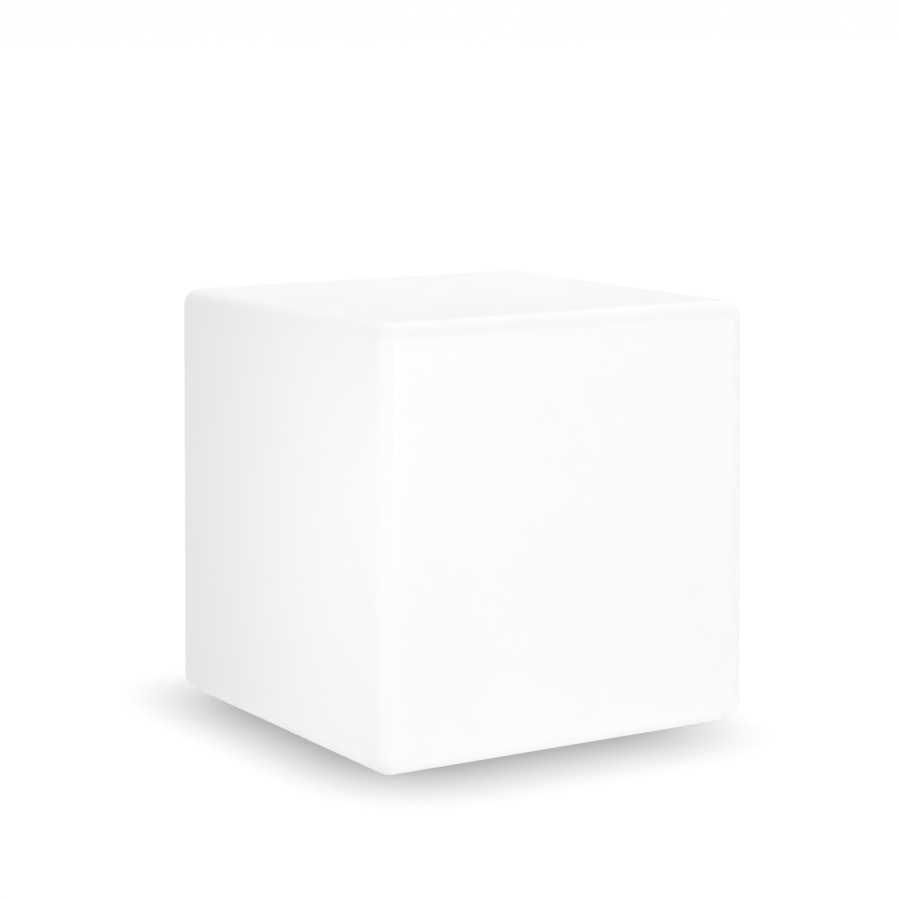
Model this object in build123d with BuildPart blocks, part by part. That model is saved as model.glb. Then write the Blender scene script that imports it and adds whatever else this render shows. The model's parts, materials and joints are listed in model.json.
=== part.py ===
from build123d import *
from math import cos, hypot, radians, sin, tan
import os

# A cube light for garden and terrace. One hollow translucent moulding stands on four rubber feet.
# A sealed light module, with its battery and its push button, is screwed up into a recess in the
# moulding's underside. Millimetres; the origin is the middle of the footprint on the ground, Z up.

os.makedirs("parts", exist_ok=True)

# ---- Shell: one hollow moulding --------------------------------------------------------------
cube_side = 400.0               # outside width where the sides start
cube_height = 400.0             # of the moulding alone, without its feet
draft_angle = 0.55              # degrees that each side leans in towards the top
edge_radius = 17.0              # on every outside edge
shell_wall = 3.5
recess_depth = 27.0             # finger room under the light module
recess_mouth_radius = 8.0       # rounding where the recess opens downwards
recess_corner = 4.0             # bevel where its side meets its roof
seat_width = 16.0               # flat ring of the roof that carries the module

# ---- Feet ------------------------------------------------------------------------------------
foot_proud = 2.0                # how far the feet lift the shell
foot_radius = 15.0
foot_setback = 50.0             # from the side of the cube to the middle of a foot
foot_pocket_depth = 1.5
foot_pocket_clearance = 0.4
foot_draft = 8.0                # degrees, so that a foot narrows towards the ground
foot_bevel = 0.5

# ---- Brass inserts moulded into the shell ----------------------------------------------------
insert_flats = 8.0              # across the flats of the hexagon
insert_depth = 10.0
insert_boss_radius = 7.0

# ---- Screws ----------------------------------------------------------------------------------
m4_shank = 2.0                  # radii; threads are plain
m4_head = 3.9
m4_head_height = 2.2
m4_head_bevel = 0.7
cross_length = 8.0              # of each slot of the cross, from flank to flank of the head
cross_width = 1.1
cross_depth = 1.3
m3_shank = 1.5
m3_head = 2.8
m3_head_height = 1.8
small_shank = 1.1
small_head = 2.2
small_head_height = 1.5
thread_gap = 0.05               # between a thread and its hole, all round
pass_gap = 0.35                 # between a shank and a plain hole, all round
flange_screw_length = 12.0
board_screw_length = 8.0
tray_screw_length = 8.0
plate_screw_length = 10.0
dome_screw_length = 9.0
head_recess = 0.7               # between a screw head and the side of its counterbore
tip_room = 1.5                  # from a screw's tip to the end of a blind hole
touch = 0.05                    # between pieces that bear on each other through a curved face

# ---- Base housing of the module --------------------------------------------------------------
cup_wall = 3.0
cup_clearance = 1.0             # between the cup and the shell's opening
gasket_thickness = 1.5
flange_thickness = 4.5
flange_clearance = 1.0
flange_screw_count = 6
floor_thickness = 3.2
well_length = 88.0              # slot-shaped finger well in the underside
well_width = 38.0
well_depth = 5.0
flange_bevel = 1.2
channel_depth = 1.3             # ring of ribs round the finger well
channel_land = 2.2
under_rib_count = 16
wall_rib_count = 8
rib_thickness = 1.8
wall_rib_depth = 2.5
floor_rib_height = 4.0
boss_wall = 2.3                 # round the screw holes of the inner bosses
rim_width = 10.0                # ring at the cup's mouth
ledge_width = 6.0               # step that carries the mounting plate
ledge_height = 9.0

# ---- Power button ----------------------------------------------------------------------------
button_offset = 21.0            # from the middle of the module, towards -X
button_radius = 8.5
button_height = 2.2
button_bevel = 0.55
button_travel = 1.5
button_overtravel = 0.2         # left between cap and roof when the button is fully in
button_dish = 0.4               # depth of the finger dish
button_rim = 1.4                # round the dish
collar_wall = 1.5
collar_clearance = 0.5
collar_height = 2.6
stem_radius = 2.5
guide_clearance = 0.05
guide_length = 5.5
guide_wall = 2.4
spring_pocket_radius = 5.2
spring_pocket_depth = 4.2       # in the housing, over the well's roof
spring_cap_depth = 1.1          # in the cap
spring_radius = 4.1             # to the middle of the wire
spring_wire = 0.3               # radius
spring_turns = 3.5
seal_groove_depth = 0.8
seal_height = 1.4
clip_thickness = 0.8
clip_radius = 4.6
clip_groove_depth = 0.5
clip_gap = 0.15
clip_mouth = 3.2                # narrower than the stem, so that the clip snaps on
stem_tip = 1.2

# ---- Push switch on the control board --------------------------------------------------------
switch_side = 8.5
switch_height = 6.0
switch_corner = 0.7
plunger_side = 3.0
plunger_bevel = 0.4
plunger_reach = 3.0
plunger_grip = 1.6              # length of plunger inside the switch at rest
plunger_clearance = 0.1

# ---- Charging socket and its cover -----------------------------------------------------------
socket_offset = 20.0            # from the middle of the module, towards +X
socket_flange_radius = 6.5
socket_flange_height = 1.8
socket_radius = 5.5
socket_bore_radius = 2.85       # for a 5.5 mm barrel plug
socket_bore_depth = 9.5
socket_length = 13.0            # above the well's roof
pin_radius = 1.0
pin_setback = 2.2               # from the socket's mouth to the tip of the pin
contact_tail = 2.5
nut_flats = 14.0
nut_height = 2.2
seal_washer_thickness = 0.8
cover_radius = 8.1
cover_thickness = 1.4
cover_clearance = 0.3
cover_skirt = 1.2
cover_skirt_gap = 0.4
cover_plug_radius = 2.3
cover_plug_length = 1.7
cover_plug_draft = 8.0
strap_width = 6.0
hinge_offset = 11.5             # from the socket's axis to the fold
hinge_gap = 0.3
hinge_slope = 52.0              # degrees off upright, on each side of the fold
tab_length = 2.4
tab_corner = 1.2
anchor_length = 6.5
anchor_stem_radius = 1.6
anchor_barb_radius = 2.4
anchor_barb_height = 2.0
anchor_barb_taper = 20.0
anchor_shoulder_radius = 2.7

# ---- Charge indicator ------------------------------------------------------------------------
light_pipe_radius = 1.5
light_pipe_proud = 0.5
light_pipe_bevel = 0.25
light_pipe_flange = 2.3
light_pipe_flange_height = 1.0
light_pipe_gap = 0.3            # below the lamp on the board
indicator_side = 1.8
indicator_height = 1.0

# ---- Control board ---------------------------------------------------------------------------
board_width = 60.0
board_corner = 6.0
board_thickness = 1.6
board_edge = 5.0                # from the board's edges to the middle of its corner holes
board_clearance = 5.1           # between the board's corners and the ribs of the cup
component_room = 11.0           # over the board, up to the battery tray
chip_length = 8.0
chip_width = 5.0
chip_height = 1.6
controller_place = (-22.0, 12.0)
charger_place = (12.0, -16.0)
driver_length = 3.2
driver_width = 1.6
driver_height = 1.2
driver_count = 4
driver_pitch = 6.0
driver_place = (-30.0, -20.0)   # of the first driver; the others follow towards +X
inductor_place = (12.0, 14.0)
inductor_radius = 5.0
inductor_waist = 3.4
inductor_height = 5.0
inductor_flange = 1.0
capacitor_radius = 3.15
capacitor_height = 7.5
capacitor_bevel = 0.4
capacitor_place = (27.0, 12.0)
capacitor_pitch = 8.0
header_depth = 5.8
header_height = 6.5
header_wall = 0.9
pin_pitch = 2.5
battery_pins = 2

# ---- Battery ---------------------------------------------------------------------------------
cell_radius = 9.2
cell_length = 65.0
cell_count = 3
cell_gap = 0.2                  # between neighbouring cells
cell_bevel = 0.8
sleeve_thickness = 0.3
sleeve_clearance = 0.05
sleeve_lip = 1.0
strip_thickness = 0.3
strip_width = 7.0
strip_corner = 2.3
tray_floor = 2.0
tray_wall = 2.0
tray_wall_height = 8.0
tray_clearance = 0.4
tray_notch = 28.0               # in both ends, for the strips and wires
tray_sill = 2.0                 # under the notches
tie_groove = 1.0                # depth, in the underside of the floor
tray_edge = 0.3                 # between the tray and the ribs of the cup
tray_shelf = 2.8                # of the tray's floor beyond its ends
tray_post_room = 1.7            # between the tray's posts and the ribs of the cup
tray_post_angle = 20.0          # either side of the Y axis
tie_offset = 20.0               # of each tie from the middle, along the cells
tie_width = 6.0
tie_thickness = 1.3
tie_clearance = 0.3
plate_room = 3.0                # over the ties, up to the mounting plate

# ---- Mounting plate, light board and dome ----------------------------------------------------
plate_thickness = 2.5
plate_clearance = 0.3
plate_screw_count = 3
pad_thickness = 0.5
led_board_thickness = 1.6
emitter_side = 5.0
emitter_height = 1.6
emitter_corner = 1.4            # cut from one corner, to mark a pole
outer_emitters = 12
outer_emitter_ring = 30.0
inner_emitters = 6
inner_emitter_ring = 14.0
lead_hole_setback = 16.6        # from the edge of the plate, on the -X side
lead_hole_radius = 4.4
grommet_bore = 2.9
grommet_flange = 1.5
grommet_lip = 1.1
grommet_clearance = 0.05
rim_above_plate = 5.5           # from the underside of the plate to the rim
groove_setback = 1.2            # from the rim's inner edge to the seal groove
groove_width = 2.2
groove_depth = 1.8
groove_clearance = 0.1
dome_flange_thickness = 2.6
dome_screw_count = 4
dome_overlap = 1.5              # of the dome's side over the inner edge of the rim
dome_side = 20.0                # height of its side over the flange
dome_bevel = 5.0
dome_wall = 2.0

# ---- Wires -----------------------------------------------------------------------------------
lead_thickness = 1.6            # of the flat twin leads
twin_lead_width = 3.6
led_lead_cores = 4
led_lead_width = 5.0
led_lead_thickness = 1.1
lead_room = 4.5                 # from the tray's ends to the leads that rise past them
header_setback = 5.0            # from the upper headers to the ends of the board
battery_header_row = -12.0
socket_header_setback = 10.0
lead_landing = 6.0              # from the grommet's axis to the solder pads
lead_arch = 3.0                 # over the light board
lead_bend = 3.0                 # radius at the middle of a flat lead
led_lead_bend = 1.4
led_lead_turn = 15.0            # below the mounting plate, where the lead leans to its grommet
socket_lead_run = 3.2           # straight off the socket's tail

# ---- Heights, from the ground up -------------------------------------------------------------
shell_base = foot_proud
recess_roof = shell_base + recess_depth
flange_top = recess_roof - gasket_thickness
face = flange_top - flange_thickness
floor_top = face + floor_thickness
well_roof = face + well_depth
well_top = well_roof + floor_thickness
button_top = well_roof - button_travel - button_overtravel
button_face = button_top - button_height
spring_base = button_top - spring_cap_depth
spring_top = well_roof + spring_pocket_depth
guide_top = spring_top + guide_length
clip_base = guide_top + clip_gap
stem_top = clip_base + clip_thickness + stem_tip
switch_base = stem_top + touch + plunger_reach
board_base = switch_base + switch_height
board_top = board_base + board_thickness
tray_base = board_top + component_room
pack_base = tray_base + tray_floor + touch
cell_height = pack_base + sleeve_thickness + sleeve_clearance + cell_radius
pack_half_height = cell_radius + sleeve_clearance + sleeve_thickness
pack_top = cell_height + pack_half_height
tie_top = pack_top + tie_clearance + tie_thickness
plate_base = tie_top + plate_room
plate_top = plate_base + plate_thickness
led_board_base = plate_top + pad_thickness
led_board_top = led_board_base + led_board_thickness
rim_top = plate_base + rim_above_plate
dome_flange_top = rim_top + dome_flange_thickness
dome_crown = dome_flange_top + dome_side

# ---- Radii and places shared by pieces that meet ---------------------------------------------
pack_half_length = cell_length / 2 + strip_thickness
sleeve_half_length = pack_half_length + sleeve_lip / 2
tray_inner_half = sleeve_half_length + tray_clearance
tray_half_length = tray_inner_half + tray_wall + tray_shelf
lead_offset = tray_half_length + lead_room
board_length = 2 * (lead_offset + header_setback)
board_reach = board_corner + hypot(board_length / 2 - board_corner, board_width / 2 - board_corner)
cup_inner = board_reach + board_clearance + wall_rib_depth
cup_radius = cup_inner + cup_wall
opening_radius = cup_radius + cup_clearance
seat_radius = opening_radius + seat_width
recess_radius = seat_radius + recess_corner
flange_radius = seat_radius - flange_clearance
flange_screw_ring = opening_radius + seat_width / 2
rim_inner = cup_radius - rim_width
ledge_inner = rim_inner - ledge_width
groove_inner = rim_inner + groove_setback
groove_outer = groove_inner + groove_width
dome_screw_ring = (groove_outer + cup_radius) / 2
plate_radius = rim_inner - plate_clearance
plate_screw_ring = (ledge_inner + rim_inner) / 2
lead_hole_offset = plate_radius - lead_hole_setback
dome_radius = rim_inner + dome_overlap
battery_header = (lead_offset, battery_header_row)
led_header = (-lead_offset, 0)
socket_header = (board_length / 2 - socket_header_setback, 0)
foot_middle = cube_side / 2 - foot_setback
foot_top = foot_proud + foot_pocket_depth
hinge_x = socket_offset + hinge_offset
socket_mouth = well_roof - seal_washer_thickness - socket_flange_height
cover_inside = socket_mouth - cover_clearance
cover_face = cover_inside - cover_thickness
pack_half_width = (cell_count - 1) * (cell_radius + cell_gap / 2) + pack_half_height
tie_leg = pack_half_width + tray_clearance + tray_wall + tie_clearance


def level(height):
    """The horizontal sketch plane at this height."""
    return Plane.XY.offset(height)


def ring_points(radius, count, start=0.0):
    """Points spaced evenly round the middle, the first at this angle from +X."""
    angles = [radians(start + 360 * step / count) for step in range(count)]
    return [(radius * cos(angle), radius * sin(angle)) for angle in angles]


def corner_points(half_x, half_y):
    """The four corners of a rectangle round the middle."""
    return [(side * half_x, end * half_y) for side in (-1, 1) for end in (-1, 1)]


def discs(points, radius, start, end, mode=Mode.ADD):
    """Upright cylinders between two heights, added to the piece in hand or cut from it."""
    with BuildSketch(level(start)) as outline:
        with Locations(*points):
            Circle(radius)
    extrude(outline.sketch, amount=end - start, mode=mode)


def rings(points, outer, inner, start, end, mode=Mode.ADD):
    """Upright tubes between two heights, added to the piece in hand or cut from it."""
    with BuildSketch(level(start)) as outline:
        with Locations(*points):
            Circle(outer)
            Circle(inner, mode=Mode.SUBTRACT)
    extrude(outline.sketch, amount=end - start, mode=mode)


def blocks(points, length, width, start, end, mode=Mode.ADD, corner=0.0):
    """Upright rectangular blocks between two heights, added to the piece in hand or cut from it."""
    with BuildSketch(level(start)) as outline:
        with Locations(*points):
            if corner:
                RectangleRounded(length, width, corner)
            else:
                Rectangle(length, width)
    extrude(outline.sketch, amount=end - start, mode=mode)


def hexagons(points, flats, start, end, mode=Mode.ADD):
    """Upright hexagonal prisms between two heights, added to the piece in hand or cut from it."""
    with BuildSketch(level(start)) as outline:
        with Locations(*points):
            RegularPolygon(flats / 2, 6, major_radius=False)
    extrude(outline.sketch, amount=end - start, mode=mode)


def spokes(inner, outer, count, width, start, end, first=0.0, mode=Mode.ADD):
    """Radial ribs, square in section, added to the piece in hand or cut from it."""
    with BuildSketch(level(start)) as outline:
        with PolarLocations((inner + outer) / 2, count, start_angle=first):
            Rectangle(outer - inner, width)
    extrude(outline.sketch, amount=end - start, mode=mode)


def screws(points, seat, length, shank, head, head_height):
    """Screws that point down, their heads standing on this height."""
    with BuildPart() as group:
        discs(points, head, seat, seat + head_height)
        discs(points, shank, seat - length, seat)
    return group


def rims(piece, radius):
    """The circular edges of this radius, from the lowest to the highest."""
    circles = piece.edges().filter_by(GeomType.CIRCLE)
    return circles.filter_by(lambda edge: abs(edge.radius - radius) < touch).sort_by(Axis.Z)


def drafted_block(half_side, height, base, radius):
    """A rounded block whose sides lean in by the draft angle; half_side is taken at its base."""
    with BuildPart() as block:
        with BuildSketch(level(base)):
            Rectangle(2 * half_side, 2 * half_side)
        extrude(amount=height, taper=draft_angle)
        fillet(block.edges(), radius)
    return block.part


def flat_lead(points, bend, width, thickness):
    """A flat cable along straight runs joined by arcs, its width along Y, added to the piece in hand."""
    with BuildLine() as route:
        FilletPolyline(*points, radius=bend)
    with BuildSketch(Plane(origin=route.line @ 0, x_dir=(0, 1, 0), z_dir=route.line % 0)) as section:
        Rectangle(width, thickness)
    sweep(section.sketch, path=route.line)


flange_screw_points = ring_points(flange_screw_ring, flange_screw_count, start=30)
foot_points = corner_points(foot_middle, foot_middle)
board_points = corner_points(board_length / 2 - board_edge, board_width / 2 - board_edge)
board_boss_radius = m3_shank + boss_wall
tray_post_ring = cup_inner - wall_rib_depth - tray_post_room - board_boss_radius
tray_points = corner_points(
    tray_post_ring * sin(radians(tray_post_angle)), tray_post_ring * cos(radians(tray_post_angle))
)
tie_points = [(-tie_offset, 0), (tie_offset, 0)]
plate_points = ring_points(plate_screw_ring, plate_screw_count, start=60)
dome_points = ring_points(dome_screw_ring, dome_screw_count, start=45)
middle = [(0, 0)]
button_point = [(-button_offset, 0)]
socket_point = [(socket_offset, 0)]
anchor_point = [(hinge_x + anchor_length - anchor_shoulder_radius, 0)]
lead_hole_point = [(-lead_hole_offset, 0)]

# ---- Brass inserts ---------------------------------------------------------------------------
with BuildPart() as module_inserts:
    hexagons(flange_screw_points, insert_flats, recess_roof, recess_roof + insert_depth)
    discs(
        flange_screw_points, m4_shank + thread_gap, recess_roof, recess_roof + insert_depth, Mode.SUBTRACT
    )

# ---- Shell -----------------------------------------------------------------------------------
lean = tan(radians(draft_angle))
inner_half_side = cube_side / 2 - shell_wall * lean - shell_wall / cos(radians(draft_angle))
foot_pocket_radius = foot_radius + foot_pocket_clearance

# The hollow inside the shell, with the recess and the insert bosses left standing.
with BuildPart() as hollow:
    add(
        drafted_block(
            inner_half_side, cube_height - 2 * shell_wall, shell_base + shell_wall, edge_radius - shell_wall
        )
    )
    discs(middle, recess_radius + shell_wall, shell_base, recess_roof + shell_wall, Mode.SUBTRACT)
    chamfer(rims(hollow, recess_radius + shell_wall)[-1], recess_corner)
    chamfer(rims(hollow, recess_radius + shell_wall)[0], recess_mouth_radius - shell_wall)
    discs(
        flange_screw_points, insert_boss_radius, recess_roof, recess_roof + insert_depth + shell_wall,
        Mode.SUBTRACT,
    )

with BuildPart() as shell:
    add(drafted_block(cube_side / 2, cube_height, shell_base, edge_radius))
    discs(middle, recess_radius, shell_base, recess_roof, Mode.SUBTRACT)
    chamfer(rims(shell, recess_radius)[-1], recess_corner)
    fillet(rims(shell, recess_radius)[0], recess_mouth_radius)
    discs(foot_points, foot_pocket_radius, shell_base, foot_top, Mode.SUBTRACT)
    add(hollow.part, mode=Mode.SUBTRACT)
    discs(middle, opening_radius, recess_roof, recess_roof + shell_wall, Mode.SUBTRACT)
    hexagons(
        flange_screw_points, insert_flats, recess_roof, recess_roof + insert_depth, Mode.SUBTRACT
    )

# ---- Feet ------------------------------------------------------------------------------------
with BuildPart() as rubber_feet:
    with BuildSketch(level(foot_top)):
        with Locations(*foot_points):
            Circle(foot_radius)
    extrude(amount=-foot_top, taper=foot_draft)
    chamfer(rubber_feet.faces().group_by(Axis.Z)[0].edges(), foot_bevel)

# ---- Module gasket and its screws ------------------------------------------------------------
counterbore_radius = m4_head + head_recess
counterbore_top = face + m4_head_height + touch

with BuildPart() as module_gasket:
    rings(middle, flange_radius, opening_radius, flange_top, recess_roof)
    discs(flange_screw_points, m4_shank + pass_gap, flange_top, recess_roof, Mode.SUBTRACT)

with BuildPart() as flange_screws:
    # These point up, and their cross-slotted heads show in the underside.
    discs(flange_screw_points, m4_head, counterbore_top - m4_head_height, counterbore_top)
    chamfer(flange_screws.edges().filter_by(GeomType.CIRCLE).group_by(Axis.Z)[0], m4_head_bevel)
    for length, width in ((cross_length, cross_width), (cross_width, cross_length)):
        blocks(
            flange_screw_points, length, width, counterbore_top - m4_head_height,
            counterbore_top - m4_head_height + cross_depth, Mode.SUBTRACT,
        )
    discs(flange_screw_points, m4_shank, counterbore_top, counterbore_top + flange_screw_length)

# ---- Base housing ----------------------------------------------------------------------------
ledge_base = plate_base - ledge_height
anchor_hole_radius = anchor_stem_radius + touch
guide_bore = stem_radius + guide_clearance
channel_inner = hypot(well_length / 2, channel_land)
channel_outer = flange_screw_ring - counterbore_radius - channel_land

with BuildPart() as base_housing:
    # Flange, cup, mouth ring and ledge in one turned section.
    with BuildSketch(Plane.XZ):
        with BuildLine():
            Polyline(
                (0, face),
                (flange_radius, face),
                (flange_radius, flange_top),
                (cup_radius, flange_top),
                (cup_radius, rim_top),
                (rim_inner, rim_top),
                (rim_inner, plate_base),
                (ledge_inner, plate_base),
                (ledge_inner, ledge_base),
                (cup_inner, ledge_base),
                (cup_inner, floor_top),
                (0, floor_top),
                close=True,
            )
        make_face()
    revolve(axis=Axis.Z)
    chamfer(rims(base_housing, flange_radius)[0], flange_bevel)
    # Stiffening: ribs up the wall, across the floor and in a ring under it.
    spokes(
        cup_inner - wall_rib_depth, cup_inner + cup_wall / 2, wall_rib_count, rib_thickness,
        floor_top, ledge_base, first=180 / wall_rib_count,
    )
    spokes(
        channel_inner, cup_inner, wall_rib_count // 2, rib_thickness, floor_top,
        floor_top + floor_rib_height, first=90,
    )
    rings(middle, channel_outer, channel_inner, face, face + channel_depth, Mode.SUBTRACT)
    spokes(
        channel_inner - channel_land, channel_outer + channel_land / 2, under_rib_count, rib_thickness,
        face, face + channel_depth, first=180 / under_rib_count,
    )
    # Finger well, with its roof carried up inside the cup.
    with BuildSketch(level(floor_top)):
        SlotOverall(well_length + 2 * floor_thickness, well_width + 2 * floor_thickness)
    extrude(amount=well_top - floor_top)
    with BuildSketch(level(face)):
        SlotOverall(well_length, well_width)
    extrude(amount=well_depth, mode=Mode.SUBTRACT)
    # Collar, spring pocket and guide of the button.
    collar_bore = button_radius + collar_clearance
    rings(button_point, collar_bore + collar_wall, collar_bore, well_roof - collar_height, well_roof)
    discs(button_point, spring_pocket_radius + guide_wall, well_top, spring_top + guide_wall)
    discs(button_point, guide_bore + guide_wall, spring_top, guide_top)
    discs(button_point, spring_pocket_radius, well_roof, spring_top, Mode.SUBTRACT)
    discs(button_point, guide_bore, spring_top, guide_top, Mode.SUBTRACT)
    # Holes for the socket, the cover's anchor and the charge indicator.
    discs(socket_point, socket_radius + touch, well_roof, well_top, Mode.SUBTRACT)
    discs(anchor_point, anchor_hole_radius, well_roof, well_top, Mode.SUBTRACT)
    discs(middle, light_pipe_radius + touch, well_roof, well_top, Mode.SUBTRACT)
    # Bosses for the control board and the battery tray.
    discs(board_points, board_boss_radius, floor_top, board_base)
    discs(tray_points, board_boss_radius, floor_top, tray_base)
    board_hole_depth = board_screw_length - board_thickness + tip_room
    tray_hole_depth = tray_screw_length - tray_floor + tip_room
    discs(board_points, m3_shank + thread_gap, board_base - board_hole_depth, board_base, Mode.SUBTRACT)
    discs(tray_points, m3_shank + thread_gap, tray_base - tray_hole_depth, tray_base, Mode.SUBTRACT)
    # Seal groove and blind screw holes in the mouth ring and the ledge.
    rings(middle, groove_outer, groove_inner, rim_top - groove_depth, rim_top, Mode.SUBTRACT)
    dome_hole_depth = dome_screw_length - dome_flange_thickness + tip_room
    plate_hole_depth = plate_screw_length - (led_board_top - plate_base) + tip_room
    discs(dome_points, small_shank + thread_gap, rim_top - dome_hole_depth, rim_top, Mode.SUBTRACT)
    discs(plate_points, small_shank + thread_gap, plate_base - plate_hole_depth, plate_base, Mode.SUBTRACT)
    # Counterbored holes of the flange.
    discs(flange_screw_points, m4_shank + pass_gap, face, flange_top, Mode.SUBTRACT)
    discs(flange_screw_points, counterbore_radius, face, counterbore_top, Mode.SUBTRACT)

# ---- Power button ----------------------------------------------------------------------------
groove_middle = spring_top + guide_length / 2
seal_inner = stem_radius - seal_groove_depth
clip_inner = stem_radius - clip_groove_depth

with BuildPart() as button_cap:
    discs(button_point, button_radius, button_face, button_top)
    chamfer(button_cap.edges().filter_by(GeomType.CIRCLE).group_by(Axis.Z)[0], button_bevel)
    discs(button_point, spring_pocket_radius, spring_base, button_top, Mode.SUBTRACT)
    discs(button_point, stem_radius, spring_base, stem_top)
    rings(
        button_point, stem_radius, seal_inner, groove_middle - seal_height / 2 - touch,
        groove_middle + seal_height / 2 + touch, Mode.SUBTRACT,
    )
    rings(
        button_point, stem_radius, clip_inner, clip_base - touch,
        clip_base + clip_thickness + touch, Mode.SUBTRACT,
    )
    discs(button_point, button_radius - button_rim, button_face, button_face + button_dish, Mode.SUBTRACT)

with BuildPart() as button_seal:
    rings(
        button_point, stem_radius + guide_clearance / 2, seal_inner + touch / 2,
        groove_middle - seal_height / 2, groove_middle + seal_height / 2,
    )

with BuildPart() as button_clip:
    rings(button_point, clip_radius, clip_inner + touch / 2, clip_base, clip_base + clip_thickness)
    blocks(
        [(-button_offset - clip_radius / 2, 0)], clip_radius, clip_mouth, clip_base,
        clip_base + clip_thickness, Mode.SUBTRACT,
    )

with BuildPart() as button_spring:
    spring_low = spring_base + spring_wire + touch
    spring_high = spring_top - spring_wire - touch
    with BuildLine() as coil:
        Helix(
            pitch=(spring_high - spring_low) / spring_turns,
            height=spring_high - spring_low,
            radius=spring_radius,
            center=(-button_offset, 0, spring_low),
        )
    with BuildSketch(Plane(origin=coil.line @ 0, z_dir=coil.line % 0)):
        RegularPolygon(spring_wire, 4)
    sweep(path=coil.line, is_frenet=True)

# ---- Push switch -----------------------------------------------------------------------------
plunger_room = button_travel + button_overtravel
plunger_tip = switch_base - plunger_reach

with BuildPart() as push_switch:
    blocks(button_point, switch_side, switch_side, switch_base, board_base)
    chamfer(push_switch.edges().filter_by(Axis.Z), switch_corner)
    blocks(
        button_point, plunger_side + 2 * plunger_clearance, plunger_side + 2 * plunger_clearance,
        switch_base, switch_base + plunger_grip + plunger_room + plunger_clearance, Mode.SUBTRACT,
    )

with BuildPart() as switch_plunger:
    blocks(button_point, plunger_side, plunger_side, plunger_tip, switch_base + plunger_grip)
    chamfer(switch_plunger.faces().sort_by(Axis.Z)[0].edges(), plunger_bevel)

# ---- Charging socket -------------------------------------------------------------------------
socket_top = well_roof + socket_length
pin_tip = socket_mouth + pin_setback
contact_offset = (socket_radius + socket_bore_radius) / 2

with BuildPart() as charging_socket:
    discs(socket_point, socket_flange_radius, socket_mouth, socket_mouth + socket_flange_height)
    discs(socket_point, socket_radius, socket_mouth, socket_top)
    discs(socket_point, socket_bore_radius, socket_mouth, socket_mouth + socket_bore_depth, Mode.SUBTRACT)
    discs(socket_point, pin_radius, pin_tip, socket_top, Mode.SUBTRACT)
    blocks(
        [(socket_offset + contact_offset, 0)], pin_radius, 2 * pin_radius, socket_top - contact_tail,
        socket_top, Mode.SUBTRACT,
    )

with BuildPart() as socket_contacts:
    discs(socket_point, pin_radius, pin_tip, socket_top + contact_tail)
    blocks(
        [(socket_offset + contact_offset, 0)], pin_radius, 2 * pin_radius, socket_top - contact_tail,
        socket_top + contact_tail,
    )

with BuildPart() as socket_seal:
    rings(
        socket_point, socket_flange_radius, socket_radius + touch, well_roof - seal_washer_thickness,
        well_roof,
    )

with BuildPart() as socket_nut:
    hexagons(socket_point, nut_flats, well_top, well_top + nut_height)
    discs(socket_point, socket_radius + thread_gap, well_top, well_top + nut_height, Mode.SUBTRACT)

# ---- Charging cover, which folds down about its strap ----------------------------------------
fold_back = cover_thickness * tan(radians(hinge_slope))
fold_end = hinge_x - hinge_gap / 2
cover_skirt_inner = socket_flange_radius + cover_skirt_gap

with BuildPart() as port_cover:
    # Disc, pull tab and strap in one outline.
    with BuildSketch(level(cover_face)):
        with Locations(*socket_point):
            Circle(cover_radius)
        with Locations((socket_offset - cover_radius, 0)):
            RectangleRounded(2 * tab_length, strap_width, tab_corner)
        with Locations(((socket_offset + fold_end) / 2, 0)):
            Rectangle(fold_end - socket_offset, strap_width)
    extrude(amount=cover_thickness)
    # The strap's end slopes back from the fold, so that the cover can hang down.
    with BuildSketch(Plane.XZ):
        with BuildLine():
            Polyline(
                (fold_end, cover_inside),
                (fold_end, cover_face),
                (fold_end - fold_back, cover_face),
                close=True,
            )
        make_face()
    extrude(amount=strap_width, both=True, mode=Mode.SUBTRACT)
    rings(socket_point, cover_radius, cover_skirt_inner, cover_inside, cover_inside + cover_skirt)
    with BuildSketch(level(cover_inside)):
        with Locations(*socket_point):
            Circle(cover_plug_radius)
    extrude(amount=cover_plug_length, taper=cover_plug_draft)

with BuildPart() as cover_anchor:
    with BuildSketch(Plane.XZ.offset(-strap_width / 2)):
        with BuildLine():
            Polyline(
                (hinge_x + hinge_gap / 2, cover_inside),
                (hinge_x + hinge_gap / 2 + fold_back, cover_face),
                (hinge_x + anchor_length, cover_face),
                (hinge_x + anchor_length, cover_inside),
                close=True,
            )
        make_face()
    extrude(amount=strap_width)
    discs(anchor_point, anchor_shoulder_radius, cover_inside, well_roof)
    discs(anchor_point, anchor_stem_radius, well_roof, well_top)
    with BuildSketch(level(well_top)):
        with Locations(*anchor_point):
            Circle(anchor_barb_radius)
    extrude(amount=anchor_barb_height, taper=anchor_barb_taper)

# ---- Charge indicator ------------------------------------------------------------------------
indicator_base = board_base - indicator_height

with BuildPart() as light_pipe:
    discs(middle, light_pipe_radius, well_roof - light_pipe_proud, indicator_base - light_pipe_gap)
    chamfer(light_pipe.edges().filter_by(GeomType.CIRCLE).group_by(Axis.Z)[0], light_pipe_bevel)
    discs(middle, light_pipe_flange, well_top, well_top + light_pipe_flange_height)

with BuildPart() as indicator_lamp:
    blocks(middle, indicator_side, indicator_side, indicator_base, board_base)

# ---- Control board and what is soldered to it ------------------------------------------------
with BuildPart() as control_board:
    blocks(middle, board_length, board_width, board_base, board_top, corner=board_corner)
    discs(board_points, m3_shank + pass_gap, board_base, board_top, Mode.SUBTRACT)

with BuildPart() as board_chips:
    blocks([controller_place], chip_length, chip_width, board_top, board_top + chip_height)
    blocks([charger_place], chip_width, chip_width, board_top, board_top + chip_height)
    driver_points = [
        (driver_place[0] + driver_pitch * step, driver_place[1]) for step in range(driver_count)
    ]
    blocks(driver_points, driver_length, driver_width, board_top, board_top + driver_height)

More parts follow.
